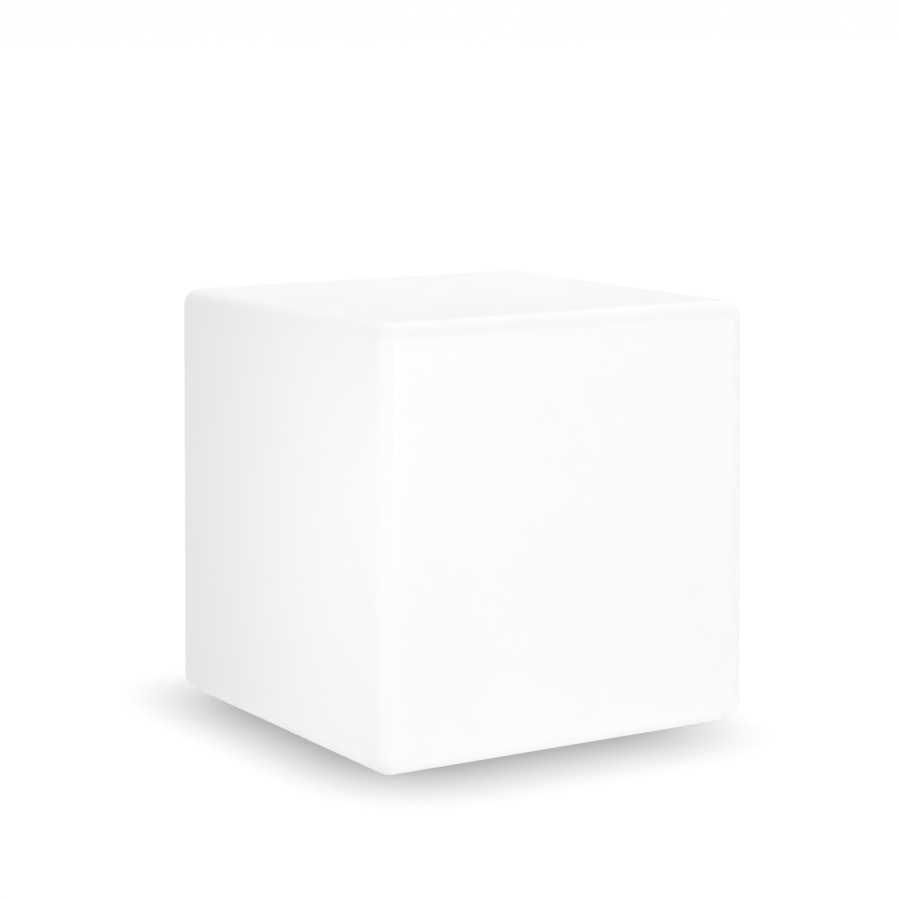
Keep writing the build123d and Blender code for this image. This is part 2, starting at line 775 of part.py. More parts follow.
with BuildPart() as board_inductor:
    discs([inductor_place], inductor_radius, board_top, board_top + inductor_flange)
    discs([inductor_place], inductor_waist, board_top, board_top + inductor_height)
    discs(
        [inductor_place], inductor_radius, board_top + inductor_height - inductor_flange,
        board_top + inductor_height,
    )

with BuildPart() as board_capacitors:
    capacitor_points = [
        capacitor_place,
        (capacitor_place[0], capacitor_place[1] - capacitor_pitch),
    ]
    discs(capacitor_points, capacitor_radius, board_top, board_top + capacitor_height)
    chamfer(board_capacitors.edges().filter_by(GeomType.CIRCLE), capacitor_bevel)

battery_header_width = (battery_pins + 1) * pin_pitch
led_header_width = (led_lead_cores + 1) * pin_pitch
header_top = board_top + header_height
header_floor = board_top + header_wall
socket_header_base = board_base - header_depth
socket_lead_height = board_base - header_depth / 2

with BuildPart() as wire_headers:
    blocks([battery_header], header_depth, battery_header_width, board_top, header_top)
    blocks([led_header], header_depth, led_header_width, board_top, header_top)
    blocks(
        [battery_header], header_depth - 2 * header_wall, battery_header_width - 2 * header_wall,
        header_floor, header_top, Mode.SUBTRACT,
    )
    blocks(
        [led_header], header_depth - 2 * header_wall, led_header_width - 2 * header_wall,
        header_floor, header_top, Mode.SUBTRACT,
    )
    # The socket's header lies under the board, open towards the socket.
    blocks([socket_header], header_height, battery_header_width, socket_header_base, board_base)
    with BuildSketch(Plane.YZ.offset(socket_header[0] - header_height / 2)) as mouth:
        with Locations((socket_header[1], socket_lead_height)):
            Rectangle(battery_header_width - 2 * header_wall, header_depth - 2 * header_wall)
    extrude(mouth.sketch, amount=header_height - header_wall, mode=Mode.SUBTRACT)

board_screws = screws(board_points, board_top, board_screw_length, m3_shank, m3_head, m3_head_height)

# ---- Battery ---------------------------------------------------------------------------------
cell_pitch = 2 * cell_radius + cell_gap
cell_rows = [cell_pitch * (step - (cell_count - 1) / 2) for step in range(cell_count)]
sleeve_inner = cell_radius + sleeve_clearance
sleeve_outer = sleeve_inner + sleeve_thickness

with BuildPart() as battery_cells:
    with BuildSketch(Plane.YZ.offset(-cell_length / 2)):
        with Locations(*[(row, cell_height) for row in cell_rows]):
            Circle(cell_radius)
    extrude(amount=cell_length)
    chamfer(battery_cells.edges().filter_by(GeomType.CIRCLE), cell_bevel)

with BuildPart() as cell_strips:
    strip_span = cell_pitch * (cell_count - 1) + strip_width
    for end in (-1, 1):
        with BuildSketch(Plane.YZ.offset(end * cell_length / 2)) as strip:
            with Locations((0, cell_height)):
                RectangleRounded(strip_span, strip_width, strip_corner)
        extrude(strip.sketch, amount=end * strip_thickness)

with BuildPart() as battery_sleeve:
    with BuildSketch(Plane.YZ.offset(-sleeve_half_length)):
        with Locations((0, cell_height)):
            SlotCenterToCenter(cell_pitch * (cell_count - 1), 2 * sleeve_outer)
            SlotCenterToCenter(cell_pitch * (cell_count - 1), 2 * sleeve_inner, mode=Mode.SUBTRACT)
    extrude(amount=2 * sleeve_half_length)

tray_inner_x = 2 * tray_inner_half
tray_inner_y = 2 * (pack_half_width + tray_clearance)

with BuildPart() as battery_tray:
    # A disc with two flats, which leave room for the wires.
    with BuildSketch(level(tray_base)):
        Circle(cup_inner - wall_rib_depth - tray_edge)
        Rectangle(2 * tray_half_length, 2 * cup_radius, mode=Mode.INTERSECT)
    extrude(amount=tray_floor)
    tray_top = tray_base + tray_floor
    blocks(
        middle, tray_inner_x + 2 * tray_wall, tray_inner_y + 2 * tray_wall, tray_top,
        tray_top + tray_wall_height, corner=tray_wall,
    )
    blocks(middle, tray_inner_x, tray_inner_y, tray_top, tray_top + tray_wall_height, Mode.SUBTRACT)
    blocks(
        middle, tray_inner_x + 2 * tray_wall, tray_notch, tray_top + tray_sill,
        tray_top + tray_wall_height, Mode.SUBTRACT,
    )
    discs(tray_points, m3_shank + pass_gap, tray_base, tray_top, Mode.SUBTRACT)
    # Slots in the floor, and grooves under it, for the ties.
    slot_span = 2 * (tie_leg + tie_thickness + tie_clearance)
    blocks(
        tie_points, tie_width + 2 * tie_clearance, slot_span, tray_base, tray_base + tie_groove,
        Mode.SUBTRACT,
    )
    slot_width = tie_thickness + 2 * tie_clearance
    slot_middle = tie_leg + tie_thickness / 2
    tie_slots = [(x, side * slot_middle) for x, _ in tie_points for side in (-1, 1)]
    blocks(tie_slots, tie_width + 2 * tie_clearance, slot_width, tray_base, tray_top, Mode.SUBTRACT)

tray_screws = screws(tray_points, tray_top, tray_screw_length, m3_shank, m3_head, m3_head_height)

with BuildPart() as battery_ties:
    # Two straps round the pack and through the tray, each drawn tight under the floor.
    tie_base = tray_base + tie_groove - touch - tie_thickness
    tie_half = tie_leg + tie_thickness
    for x, _ in tie_points:
        with BuildSketch(Plane.YZ.offset(x - tie_width / 2)) as band:
            with Locations((0, (tie_base + tie_top) / 2)):
                RectangleRounded(2 * tie_half, tie_top - tie_base, tie_thickness)
                Rectangle(2 * tie_leg, tie_top - tie_base - 2 * tie_thickness, mode=Mode.SUBTRACT)
        extrude(band.sketch, amount=tie_width)

# ---- Mounting plate, pad and light board -----------------------------------------------------
upper_grommet_radius = lead_hole_radius + grommet_flange
lead_window = upper_grommet_radius + plate_clearance

with BuildPart() as mounting_plate:
    discs(middle, plate_radius, plate_base, plate_top)
    discs(plate_points, small_shank + pass_gap, plate_base, plate_top, Mode.SUBTRACT)
    discs(lead_hole_point, lead_hole_radius, plate_base, plate_top, Mode.SUBTRACT)

with BuildPart() as thermal_pad:
    discs(middle, plate_radius, plate_top, led_board_base)
    discs(plate_points, small_shank + pass_gap, plate_top, led_board_base, Mode.SUBTRACT)
    discs(lead_hole_point, lead_window, plate_top, led_board_base, Mode.SUBTRACT)

with BuildPart() as led_board:
    discs(middle, plate_radius, led_board_base, led_board_top)
    discs(plate_points, small_shank + pass_gap, led_board_base, led_board_top, Mode.SUBTRACT)
    discs(lead_hole_point, lead_window, led_board_base, led_board_top, Mode.SUBTRACT)

# These hold the light board, the pad and the plate down on the housing's ledge together.
plate_screws = screws(
    plate_points, led_board_top, plate_screw_length, small_shank, small_head, small_head_height
)

with BuildPart() as led_emitters:
    for ring, count in ((outer_emitter_ring, outer_emitters), (inner_emitter_ring, inner_emitters)):
        with BuildSketch(level(led_board_top)):
            with PolarLocations(ring, count, start_angle=180 / count):
                Rectangle(emitter_side, emitter_side)
                with Locations((emitter_side / 2, emitter_side / 2)):
                    Rectangle(emitter_corner, emitter_corner, rotation=45, mode=Mode.SUBTRACT)
        extrude(amount=emitter_height)

with BuildPart() as lead_grommet:
    with BuildSketch(Plane.XZ):
        with BuildLine():
            lip_base = plate_base - grommet_lip - grommet_clearance
            lip_top = plate_top + grommet_lip + grommet_clearance
            body_radius = lead_hole_radius - grommet_clearance
            Polyline(
                (-lead_hole_offset + grommet_bore, lip_base),
                (-lead_hole_offset + upper_grommet_radius, lip_base),
                (-lead_hole_offset + upper_grommet_radius, plate_base - grommet_clearance),
                (-lead_hole_offset + body_radius, plate_base - grommet_clearance),
                (-lead_hole_offset + body_radius, plate_top + grommet_clearance),
                (-lead_hole_offset + upper_grommet_radius, plate_top + grommet_clearance),
                (-lead_hole_offset + upper_grommet_radius, lip_top),
                (-lead_hole_offset + grommet_bore, lip_top),
                close=True,
            )
        make_face()
    revolve(axis=Axis((-lead_hole_offset, 0, 0), (0, 0, 1)))

# ---- Dome and its seal -----------------------------------------------------------------------
with BuildPart() as dome_seal:
    rings(
        middle, groove_outer - groove_clearance, groove_inner + groove_clearance,
        rim_top - groove_depth, rim_top,
    )

with BuildPart() as diffuser_dome:
    discs(middle, cup_radius, rim_top, dome_flange_top)
    discs(middle, dome_radius, dome_flange_top, dome_crown)
    chamfer(diffuser_dome.edges().group_by(Axis.Z)[-1], dome_bevel)
    discs(middle, dome_radius - dome_wall, rim_top, dome_crown - dome_bevel, Mode.SUBTRACT)
    discs(
        middle, dome_radius - dome_bevel, dome_crown - dome_bevel, dome_crown - dome_wall, Mode.SUBTRACT
    )
    discs(dome_points, small_shank + pass_gap, rim_top, dome_flange_top, Mode.SUBTRACT)

dome_screws = screws(
    dome_points, dome_flange_top, dome_screw_length, small_shank, small_head, small_head_height
)

# ---- Wires -----------------------------------------------------------------------------------
with BuildPart() as battery_lead:
    strip_face = cell_length / 2 + strip_thickness
    flat_lead(
        [
            (battery_header[0], battery_header[1], header_floor),
            (battery_header[0], battery_header[1], cell_height),
            (strip_face, battery_header[1], cell_height),
        ],
        lead_bend, twin_lead_width, lead_thickness,
    )

with BuildPart() as led_lead:
    pad_x = lead_landing - lead_hole_offset
    flat_lead(
        [
            (led_header[0], led_header[1], header_floor),
            (led_header[0], led_header[1], tray_top),
            (-lead_hole_offset, 0, plate_base - led_lead_turn),
            (-lead_hole_offset, 0, led_board_top + lead_arch),
            (pad_x, 0, led_board_top + lead_arch),
            (pad_x, 0, led_board_top),
        ],
        led_lead_bend, led_lead_width, led_lead_thickness,
    )

with BuildPart() as socket_lead:
    tail_face = socket_offset + contact_offset + pin_radius / 2
    tail_height = socket_top + contact_tail - lead_thickness
    header_back = socket_header[0] + header_height / 2 - header_wall
    flat_lead(
        [
            (tail_face, 0, tail_height),
            (tail_face + socket_lead_run, 0, tail_height),
            (header_back - header_height, 0, socket_lead_height),
            (header_back, 0, socket_lead_height),
        ],
        led_lead_bend, twin_lead_width, lead_thickness,
    )

# ---- Files -----------------------------------------------------------------------------------
pieces = {
    "shell": shell,
    "module_inserts": module_inserts,
    "rubber_feet": rubber_feet,
    "module_gasket": module_gasket,
    "flange_screws": flange_screws,
    "base_housing": base_housing,
    "button_cap": button_cap,
    "button_seal": button_seal,
    "button_clip": button_clip,
    "button_spring": button_spring,
    "push_switch": push_switch,
    "switch_plunger": switch_plunger,
    "charging_socket": charging_socket,
    "socket_contacts": socket_contacts,
    "socket_seal": socket_seal,
    "socket_nut": socket_nut,
    "port_cover": port_cover,
    "cover_anchor": cover_anchor,
    "light_pipe": light_pipe,
    "indicator_lamp": indicator_lamp,
    "control_board": control_board,
    "board_chips": board_chips,
    "board_inductor": board_inductor,
    "board_capacitors": board_capacitors,
    "wire_headers": wire_headers,
    "board_screws": board_screws,
    "battery_cells": battery_cells,
    "cell_strips": cell_strips,
    "battery_sleeve": battery_sleeve,
    "battery_tray": battery_tray,
    "tray_screws": tray_screws,
    "battery_ties": battery_ties,
    "mounting_plate": mounting_plate,
    "plate_screws": plate_screws,
    "thermal_pad": thermal_pad,
    "led_board": led_board,
    "led_emitters": led_emitters,
    "lead_grommet": lead_grommet,
    "dome_seal": dome_seal,
    "diffuser_dome": diffuser_dome,
    "dome_screws": dome_screws,
    "battery_lead": battery_lead,
    "led_lead": led_lead,
    "socket_lead": socket_lead,
}

for name, piece in pieces.items():
    piece.part.label = name
    export_step(piece.part, f"parts/{name}.step")
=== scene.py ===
"""The cube light in its setting.

Gives every piece its finish, adds the two small pieces that a rigid node can't show, and sets up a
pale seamless floor, soft studio light and the photograph's camera. Lengths are in metres, angles in
radians, powers in watts, and colours linear, where nothing else is said.
"""

import json
import math

import bpy
from mathutils import Matrix, Vector


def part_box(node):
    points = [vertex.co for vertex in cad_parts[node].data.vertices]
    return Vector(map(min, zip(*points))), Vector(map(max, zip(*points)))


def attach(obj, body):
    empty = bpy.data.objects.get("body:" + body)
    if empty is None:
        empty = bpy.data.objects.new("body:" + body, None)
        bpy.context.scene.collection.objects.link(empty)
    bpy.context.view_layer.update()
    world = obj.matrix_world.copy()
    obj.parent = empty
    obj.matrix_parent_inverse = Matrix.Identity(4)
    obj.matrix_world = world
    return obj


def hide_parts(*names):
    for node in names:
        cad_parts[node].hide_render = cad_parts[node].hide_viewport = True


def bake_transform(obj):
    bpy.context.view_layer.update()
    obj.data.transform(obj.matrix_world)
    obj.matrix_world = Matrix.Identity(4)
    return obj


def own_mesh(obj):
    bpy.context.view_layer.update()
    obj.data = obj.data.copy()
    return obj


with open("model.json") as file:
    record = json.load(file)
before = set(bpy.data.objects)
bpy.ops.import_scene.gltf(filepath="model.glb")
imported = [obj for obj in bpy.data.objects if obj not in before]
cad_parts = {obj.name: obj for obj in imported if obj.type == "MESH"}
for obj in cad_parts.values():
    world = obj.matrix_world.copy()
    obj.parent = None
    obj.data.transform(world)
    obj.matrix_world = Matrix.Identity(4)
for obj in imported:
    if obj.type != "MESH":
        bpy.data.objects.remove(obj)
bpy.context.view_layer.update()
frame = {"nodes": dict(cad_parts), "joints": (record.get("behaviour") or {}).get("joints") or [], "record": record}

WHITE = (1.0, 1.0, 1.0)
UNSTRETCHED = (1.0, 1.0, 1.0)

# ---- Camera, found from the cube's edges in the photograph -------------------------------------
IMAGE_SIDE = 900  # pixels
FOCAL_LENGTH = 2742.4  # pixels
SENSOR_WIDTH = 36.0  # millimetres
CAMERA_PLACE = (-1.3671, -2.2059, 0.6615)
CAMERA_YAW = -0.5526
CAMERA_PITCH = 0.1566  # downwards
CAMERA_ROLL = -0.0012
CAMERA_REACH = 240.0  # past the floor's far corners

# ---- Floor: the camera sees it overexposed, the object is lit by a plain white one -------------
FLOOR_REACH = 60.0  # from the middle to each side
FLOOR_DROP = 0.0003  # below the feet
FLOOR_ROUGHNESS = 0.9
FLOOR_ALBEDO = 0.985  # as the object sees it
FLOOR_SHARE = 0.30  # albedo as the camera sees it, out of the shadow
FLOOR_BOUNCE = 0.192  # glow as the object sees it
FLOOR_GLOW = 0.868  # glow as the camera sees it, out of the shadow

# ---- Painted contact shadow: a plain fade on the floor, as wide and soft as the photograph's ---
SHADOW_DEPTH = 0.76  # share of the floor's tone that it takes where it is darkest
SHADOW_MIDDLE = (-0.029, -0.015)
SHADOW_SPREAD = ((0.0685, 0.305), (0.052, 0.362))  # where it begins and ends to fade, on X and on Y

# ---- Studio ------------------------------------------------------------------------------------
SKY_LIGHT = 0.595  # strength of the white surroundings as a light
SKY_SEEN = 1.0  # and as the camera sees them
# Each light's name, place, the place that it points at, width, height, power, and whether glossy
# surfaces mirror it.
LIGHTS = (
    ("overhead", (0.7, 0.9, 2.2), (0.0, 0.0, 0.4), 2.2, 2.2, 31.4, False),
    ("broad_side", (1.1, -4.2, 0.35), (0.0, 0.0, 0.2), 1.6, 0.8, 47.0, True),
    ("narrow_side", (-0.50, -0.16, 0.20), (0.0, -0.16, 0.20), 0.30, 0.6, 0.571, False),
    ("front_above", (-1.3, -2.8, 2.9), (0.0, 0.0, 0.3), 1.6, 1.6, 22.4, False),
)

# ---- Fold of the charging cover ----------------------------------------------------------------
WEB_THICKNESS = 0.0002
WEB_CLEARANCE = 0.00001
WEB_SLOPE = math.tan(math.radians(52.0))  # of the two faces that it lies between
WEB_STEPS = 16
WEB_CORNERS = 4  # of its section

# ---- Places of a Mix node's sockets, which share their names -----------------------------------
MIX_FACTOR = 0
MIX_NUMBER_A, MIX_NUMBER_B, MIX_NUMBER_RESULT = 2, 3, 0
MIX_COLOUR_A, MIX_COLOUR_B, MIX_COLOUR_RESULT = 6, 7, 2

# ---- Part of a noise's range that a drift runs over --------------------------------------------
NOISE_LOW = 0.35
NOISE_HIGH = 0.65


def scaled(colour, share, lift=0.0):
    """A colour made darker or lighter by a share, and then lifted."""
    return tuple(share * part + lift for part in colour)


def fill(node, values):
    """Sets inputs of a node by their names."""
    for name, value in values.items():
        node.inputs[name].default_value = value


class Finish:
    """A material under construction: its nodes, its shader and the object's own coordinates."""

    def __init__(self, name, colour, roughness, metallic=0.0, ior=1.46):
        self.material = bpy.data.materials.new(name)
        self.material.use_nodes = True
        self.tree = self.material.node_tree
        self.shader = self.tree.nodes["Principled BSDF"]
        self.colour = (*colour, 1.0)
        self.roughness = roughness
        fill(self.shader, {
            "Base Color": self.colour,
            "Roughness": roughness,
            "Metallic": metallic,
            "IOR": ior,
        })
        self.coordinates = self.node("ShaderNodeTexCoord").outputs["Object"]
        self.normal = None

    def node(self, kind, **settings):
        """A new node, with its settings."""
        made = self.tree.nodes.new(kind)
        for key, value in settings.items():
            setattr(made, key, value)
        return made

    def link(self, output, target):
        """Joins an output to an input."""
        self.tree.links.new(output, target)

    def math(self, operation, *values):
        """The result of a sum on outputs and numbers."""
        made = self.node("ShaderNodeMath", operation=operation)
        for place, value in zip(made.inputs, values):
            if isinstance(value, bpy.types.NodeSocket):
                self.link(value, place)
            else:
                place.default_value = value
        return made.outputs[0]

    def noise(self, scale, detail, stretch):
        """A noise value over the object, at so many cells a metre."""
        mapping = self.node("ShaderNodeMapping")
        fill(mapping, {"Scale": stretch})
        self.link(self.coordinates, mapping.inputs["Vector"])
        texture = self.node("ShaderNodeTexNoise")
        fill(texture, {"Scale": scale, "Detail": detail})
        self.link(mapping.outputs["Vector"], texture.inputs["Vector"])
        return texture.outputs["Fac"]

    def drift(self, noise, low, high):
        """A noise value spread between two numbers."""
        spread = self.node("ShaderNodeMapRange")
        fill(spread, {"From Min": NOISE_LOW, "From Max": NOISE_HIGH, "To Min": low, "To Max": high})
        self.link(noise, spread.inputs["Value"])
        return spread.outputs["Result"]

    def mottle(self, other, scale):
        """The base colour drifts between its own and another one."""
        mix = self.node("ShaderNodeMix", data_type="RGBA")
        mix.inputs[MIX_COLOUR_A].default_value = self.colour
        mix.inputs[MIX_COLOUR_B].default_value = (*other, 1.0)
        noise = self.noise(scale, detail=3.0, stretch=UNSTRETCHED)
        self.link(self.drift(noise, low=0.0, high=1.0), mix.inputs[MIX_FACTOR])
        self.link(mix.outputs[MIX_COLOUR_RESULT], self.shader.inputs["Base Color"])
        return self

    def vary_roughness(self, spread, scale, stretch=UNSTRETCHED):
        """The roughness drifts either side of its own value."""
        noise = self.noise(scale, detail=2.0, stretch=stretch)
        value = self.drift(noise, low=self.roughness - spread, high=self.roughness + spread)
        self.link(value, self.shader.inputs["Roughness"])
        return self

    def bump(self, height, scale, strength, detail=2.0, stretch=UNSTRETCHED):
        """A relief of this height; each call adds to the last."""
        relief = self.node("ShaderNodeBump")
        fill(relief, {"Strength": strength, "Distance": height})
        self.link(self.noise(scale, detail, stretch), relief.inputs["Height"])
        if self.normal is not None:
            self.link(self.normal, relief.inputs["Normal"])
        self.normal = relief.outputs["Normal"]
        self.link(self.normal, self.shader.inputs["Normal"])
        return self

    def glow(self, colour, strength):
        """Light of the piece's own."""
        fill(self.shader, {"Emission Color": (*colour, 1.0), "Emission Strength": strength})
        return self

    def translucent(self, weight, depth):
        """Light goes in and comes out again within this depth."""
        fill(self.shader, {
            "Subsurface Weight": weight,
            "Subsurface Radius": WHITE,
            "Subsurface Scale": depth,
        })
        return self


def opal_shell():
    """Rotomoulded polyethylene: satin, faintly uneven, lit through."""
    finish = Finish("opal_shell", (0.84, 0.8395, 0.8385), roughness=0.38, ior=1.51)
    finish.mottle((0.83, 0.8295, 0.8285), scale=5.0)
    finish.vary_roughness(0.04, scale=14.0)
    finish.bump(0.0006, scale=9.0, strength=0.35, detail=1.0)
    finish.bump(0.00004, scale=620.0, strength=0.5)
    finish.translucent(weight=0.6, depth=0.010)
    return finish.glow(WHITE, strength=0.10).material


def moulded(name, colour, roughness=0.5, grain=900.0):
    """An injection moulding with a fine spark-eroded grain."""
    finish = Finish(name, colour, roughness, ior=1.50)
    finish.mottle(scaled(colour, 0.965), scale=60.0)
    finish.vary_roughness(0.05, scale=140.0)
    return finish.bump(0.00003, scale=grain, strength=0.6).material


def rubber(name, colour):
    """Matt rubber with a dusty bloom."""
    finish = Finish(name, colour, roughness=0.72, ior=1.52)
    finish.mottle(scaled(colour, 1.15, lift=0.008), scale=90.0)
    finish.vary_roughness(0.06, scale=200.0)
    return finish.bump(0.00003, scale=700.0, strength=0.7).material


def metal(name, colour, roughness, stretch=(1.0, 1.0, 14.0)):
    """Bare or plated metal with fine drawn or turned lines."""
    finish = Finish(name, colour, roughness, metallic=1.0)
    finish.mottle(scaled(colour, 0.86), scale=50.0)
    finish.vary_roughness(0.07, scale=400.0, stretch=stretch)
    return finish.bump(0.00001, scale=400.0, strength=0.4, stretch=stretch).material


def clear_plastic():
    """The light pipe: clear, polished, faintly clouded."""
    finish = Finish("clear_plastic", (0.93, 0.96, 0.96), roughness=0.08, ior=1.49)
    fill(finish.shader, {"Transmission Weight": 0.85})
    finish.vary_roughness(0.04, scale=300.0)
    return finish.bump(0.00001, scale=500.0, strength=0.3).material


def opal_dome():
    """The diffuser over the light board."""
    finish = Finish("opal_dome", (0.90, 0.90, 0.885), roughness=0.28, ior=1.49)
    finish.mottle((0.87, 0.87, 0.86), scale=30.0)
    finish.bump(0.00003, scale=300.0, strength=0.4)
    finish.translucent(weight=0.4, depth=0.003)
    return finish.glow((1.0, 0.98, 0.94), strength=0.5).material


def circuit_board(name, mask, copper):
    """Solder mask over copper tracks that run in both directions."""
    finish = Finish(name, mask, roughness=0.34, ior=1.55)
    tracks = finish.node("ShaderNodeTexBrick", offset=0.37, offset_frequency=3,
                         squash=1.8, squash_frequency=2)
    fill(tracks, {
        "Scale": 130.0,
        "Mortar Size": 0.03,
        "Brick Width": 0.75,
        "Row Height": 0.22,
        "Color1": finish.colour,
        "Color2": (*scaled(mask, 0.9), 1.0),
        "Mortar": (*copper, 1.0),
    })
    finish.link(finish.coordinates, tracks.inputs["Vector"])
    finish.link(tracks.outputs["Color"], finish.shader.inputs["Base Color"])
    relief = finish.node("ShaderNodeBump")
    fill(relief, {"Distance": 0.00003})
    finish.link(tracks.outputs["Fac"], relief.inputs["Height"])
    finish.link(relief.outputs["Normal"], finish.shader.inputs["Normal"])
    return finish.vary_roughness(0.05, scale=500.0).material


def emitter():
    """Yellow phosphor in a white package."""
    finish = Finish("emitter", (0.93, 0.80, 0.35), roughness=0.4)
    finish.mottle((0.96, 0.90, 0.62), scale=900.0)
    finish.bump(0.00002, scale=1500.0, strength=0.4)
    return finish.glow((1.0, 0.93, 0.8), strength=0.6).material


def film(name, colour):
    """Thin shrunk plastic film with soft wrinkles."""
    finish = Finish(name, colour, roughness=0.22, ior=1.54)
    finish.mottle(scaled(colour, 1.0, lift=0.04), scale=70.0)
    finish.vary_roughness(0.06, scale=120.0)
    return finish.bump(0.0001, scale=160.0, strength=0.4).material


FINISHES = {
    "opal_shell": opal_shell(),
    "foot_rubber": rubber("foot_rubber", (0.36, 0.36, 0.355)),
    "seal_rubber": rubber("seal_rubber", (0.035, 0.035, 0.036)),
    "housing_plastic": moulded("housing_plastic", (0.74, 0.74, 0.72)),
    "button_plastic": moulded("button_plastic", (0.10, 0.105, 0.11), 0.42),
    "cover_rubber": rubber("cover_rubber", (0.07, 0.07, 0.072)),
    "clear_plastic": clear_plastic(),
    "black_plastic": moulded("black_plastic", (0.02, 0.02, 0.021), 0.46),
    "white_plastic": moulded("white_plastic", (0.78, 0.76, 0.69), 0.4),
    "opal_dome": opal_dome(),
    "steel": metal("steel", (0.62, 0.62, 0.60), 0.30),
    "spring_steel": metal("spring_steel", (0.50, 0.50, 0.49), 0.34),
    "brass": metal("brass", (0.78, 0.56, 0.23), 0.30),
    "nickel": metal("nickel", (0.68, 0.65, 0.60), 0.22),
    "sheet_aluminium": metal("sheet_aluminium", (0.74, 0.75, 0.76), 0.36, stretch=(1.0, 16.0, 1.0)),
    "pad_grey": rubber("pad_grey", (0.33, 0.38, 0.43)),
    "board_green": circuit_board("board_green", (0.010, 0.095, 0.035), (0.03, 0.17, 0.06)),
    "board_white": circuit_board("board_white", (0.84, 0.84, 0.82), (0.78, 0.78, 0.75)),
    "emitter": emitter(),
    "component_black": moulded("component_black", (0.018, 0.018, 0.019), grain=1500.0),
    "capacitor_can": metal("capacitor_can", (0.60, 0.61, 0.63), 0.28),
    "cell_can": film("cell_can", (0.03, 0.20, 0.15)),
    "sleeve_film": film("sleeve_film", (0.015, 0.06, 0.28)),
    "lead_jacket": rubber("lead_jacket", (0.60, 0.58, 0.54)),
}

for part in frame["record"]["subparts"]:
    shape = frame["nodes"][part["node"]]
    for place in shape.material_slots:
        place.material = FINISHES[part["material_slot"]]


def joint_named(name):
    """The frame's row for a joint."""
    return next(joint for joint in frame["joints"] if joint["name"] == name)


def new_object(name, data):
    """An object in the scene."""
    made = bpy.data.objects.new(name, data)
    bpy.context.scene.collection.objects.link(made)
    return made


def pressed_spring():
    """The button's spring: a copy of its own, held by the cube's body, in place of the hidden original."""
    coil = new_object("pressed_spring", frame["nodes"]["button_spring"].data.copy())
    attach(coil, "cube")
    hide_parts("button_spring")
    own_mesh(coil)


def cover_web():
    """The thin web between the charging cover and its anchor."""
    anchor_low, anchor_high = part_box("cover_anchor")
    cover_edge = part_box("port_cover")[1].x
    fold = (anchor_low.x + cover_edge) / 2
    top = joint_named("port_cover")["pos_m"][2]
    bottom = top - WEB_THICKNESS
    reach = (anchor_low.x - cover_edge) / 2 - WEB_CLEARANCE
    foot = reach + WEB_THICKNESS * WEB_SLOPE
    points = []
    for step in range(WEB_STEPS + 1):
        share = 2 * step / WEB_STEPS - 1
        points.append((fold + share * reach, anchor_low.y, top))
        points.append((fold + share * reach, anchor_high.y, top))
        points.append((fold + share * foot, anchor_high.y, bottom))
        points.append((fold + share * foot, anchor_low.y, bottom))
    first = tuple(range(WEB_CORNERS))
    last = tuple(WEB_CORNERS * WEB_STEPS + corner for corner in reversed(first))
    faces = [first, last]
    for step in range(WEB_STEPS):
        here, there = WEB_CORNERS * step, WEB_CORNERS * (step + 1)
        for corner in first:
            following = (corner + 1) % WEB_CORNERS
            faces.append((here + corner, there + corner, there + following, here + following))
    mesh = bpy.data.meshes.new("cover_web")
    mesh.from_pydata(points, [], faces)
    mesh.materials.append(FINISHES["cover_rubber"])
    web = new_object("cover_web", mesh)
    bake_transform(web)


def floor_finish():
    """The floor's material: white, with a painted contact shadow, and open from below."""
    finish = Finish("floor", (FLOOR_ALBEDO,) * 3, FLOOR_ROUGHNESS)
    apart = finish.node("ShaderNodeSeparateXYZ")
    finish.link(finish.coordinates, apart.inputs["Vector"])
    # Painted shadow: the floor's tone fades darker towards the middle, where the cube stands, and only the camera
    # sees it.
    fades = []
    for axis, middle, (near, far) in zip("XY", SHADOW_MIDDLE, SHADOW_SPREAD):
        distance = finish.math("ABSOLUTE", finish.math("SUBTRACT", apart.outputs[axis], middle))
        fade = finish.node("ShaderNodeMapRange", interpolation_type="SMOOTHERSTEP")
        fill(fade, {"From Min": near, "From Max": far, "To Min": 1.0, "To Max": 0.0})
        finish.link(distance, fade.inputs["Value"])
        fades.append(fade.outputs["Result"])
    painted_shadow_tone = finish.math("MULTIPLY_ADD", finish.math("MULTIPLY", *fades), -SHADOW_DEPTH, 1.0)
    # The camera and the object see different floors.
    path = finish.node("ShaderNodeLightPath")
    albedo = finish.node("ShaderNodeMix", data_type="RGBA")
    albedo.inputs[MIX_COLOUR_A].default_value = finish.colour
    finish.link(path.outputs["Is Camera Ray"], albedo.inputs[MIX_FACTOR])
    finish.link(finish.math("MULTIPLY", painted_shadow_tone, FLOOR_SHARE), albedo.inputs[MIX_COLOUR_B])
    finish.link(albedo.outputs[MIX_COLOUR_RESULT], finish.shader.inputs["Base Color"])
    glow = finish.node("ShaderNodeMix", data_type="FLOAT")
    glow.inputs[MIX_NUMBER_A].default_value = FLOOR_BOUNCE
    finish.link(path.outputs["Is Camera Ray"], glow.inputs[MIX_FACTOR])
    finish.link(finish.math("MULTIPLY", painted_shadow_tone, FLOOR_GLOW), glow.inputs[MIX_NUMBER_B])
    finish.glow(WHITE, FLOOR_GLOW)
    finish.link(glow.outputs[MIX_NUMBER_RESULT], finish.shader.inputs["Emission Strength"])
    fill(finish.shader, {"Specular IOR Level": 0.0})
    # Seen from below, the floor lets the view and the light through.
    opening = finish.node("ShaderNodeBsdfTransparent")
    side = finish.node("ShaderNodeNewGeometry").outputs["Backfacing"]
    through = finish.math("MAXIMUM", side, path.outputs["Transparent Depth"])
    choice = finish.node("ShaderNodeMixShader")
    share, closed, opened = choice.inputs
    finish.link(finish.math("MINIMUM", through, 1.0), share)
    finish.link(finish.shader.outputs["BSDF"], closed)
    finish.link(opening.outputs["BSDF"], opened)
    finish.link(choice.outputs["Shader"], finish.tree.nodes["Material Output"].inputs["Surface"])
    return finish.material


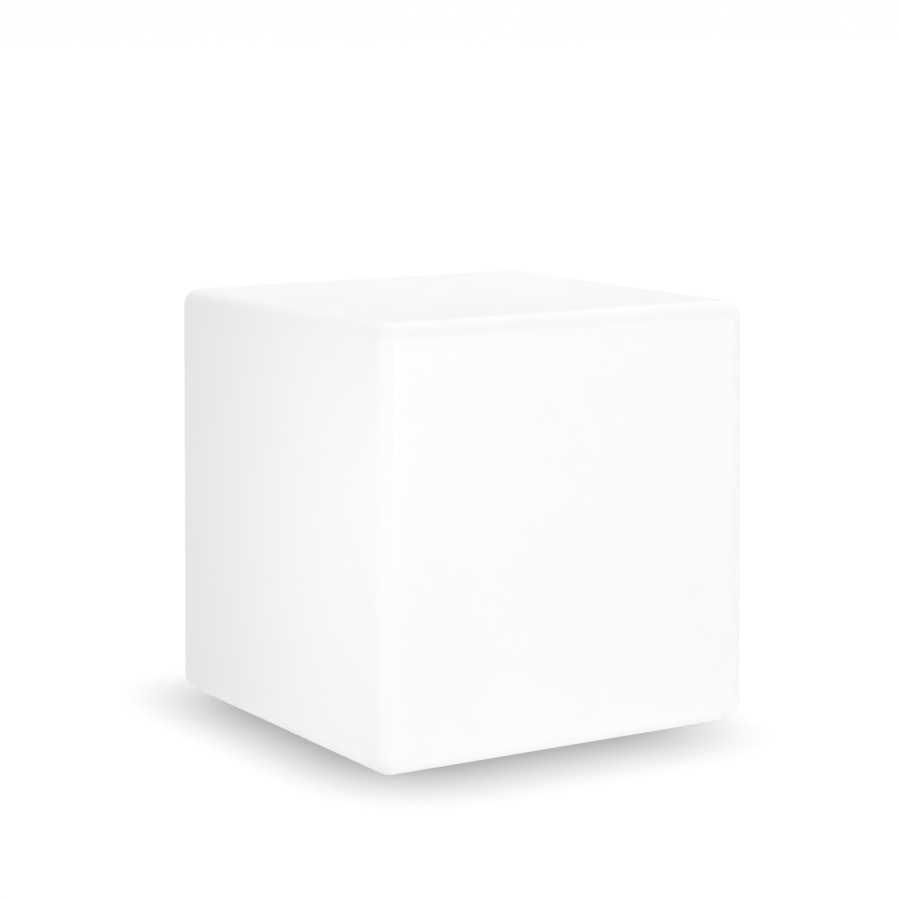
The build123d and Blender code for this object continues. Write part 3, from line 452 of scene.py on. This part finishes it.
def pale_floor():
    """A seamless floor, just below the feet."""
    mesh = bpy.data.meshes.new("floor")
    directions = ((-1, -1), (1, -1), (1, 1), (-1, 1))
    corners = [(x * FLOOR_REACH, y * FLOOR_REACH, -FLOOR_DROP) for x, y in directions]
    mesh.from_pydata(corners, [], [tuple(range(len(corners)))])
    mesh.materials.append(floor_finish())
    floor = new_object("floor", mesh)
    return floor


def softbox(name, place, target, width, height, power, mirrored, unlit):
    """A rectangular light that points at a place and leaves the unlit objects alone."""
    light = bpy.data.lights.new(name, "AREA")
    light.shape = "RECTANGLE"
    light.size = width
    light.size_y = height
    light.energy = power
    lamp = new_object(name, light)
    lamp.location = place
    lamp.rotation_mode = "QUATERNION"
    lamp.rotation_quaternion = (Vector(target) - Vector(place)).to_track_quat("-Z", "Y")
    lamp.visible_camera = False
    lamp.visible_glossy = mirrored
    lamp.light_linking.receiver_collection = unlit


def studio(floor):
    """White surroundings and the lights."""
    world = bpy.data.worlds.new("studio")
    world.use_nodes = True
    tree = world.node_tree
    background = tree.nodes["Background"]
    path = tree.nodes.new("ShaderNodeLightPath")
    strength = tree.nodes.new("ShaderNodeMapRange")
    fill(background, {"Color": (*WHITE, 1.0)})
    fill(strength, {"To Min": SKY_LIGHT, "To Max": SKY_SEEN})
    tree.links.new(path.outputs["Is Camera Ray"], strength.inputs["Value"])
    tree.links.new(strength.outputs["Result"], background.inputs["Strength"])
    bpy.context.scene.world = world
    # The surroundings alone light the floor, so that it stays evenly white.
    unlit = bpy.data.collections.new("unlit")
    unlit.objects.link(floor)
    unlit.collection_objects[0].light_linking.link_state = "EXCLUDE"
    for light in LIGHTS:
        softbox(*light, unlit)


def camera():
    """The photograph's camera."""
    data = bpy.data.cameras.new("camera")
    data.sensor_width = SENSOR_WIDTH
    data.lens = FOCAL_LENGTH / IMAGE_SIDE * SENSOR_WIDTH
    data.clip_end = CAMERA_REACH
    view = new_object("camera", data)
    yaw = Matrix.Rotation(CAMERA_YAW, 4, "Z")
    pitch = Matrix.Rotation(math.pi / 2 - CAMERA_PITCH, 4, "X")
    roll = Matrix.Rotation(CAMERA_ROLL, 4, "Z")
    view.matrix_world = Matrix.Translation(CAMERA_PLACE) @ yaw @ pitch @ roll
    bpy.context.scene.camera = view


pressed_spring()
cover_web()
studio(pale_floor())
camera()
bpy.context.scene.view_settings.view_transform = "Standard"
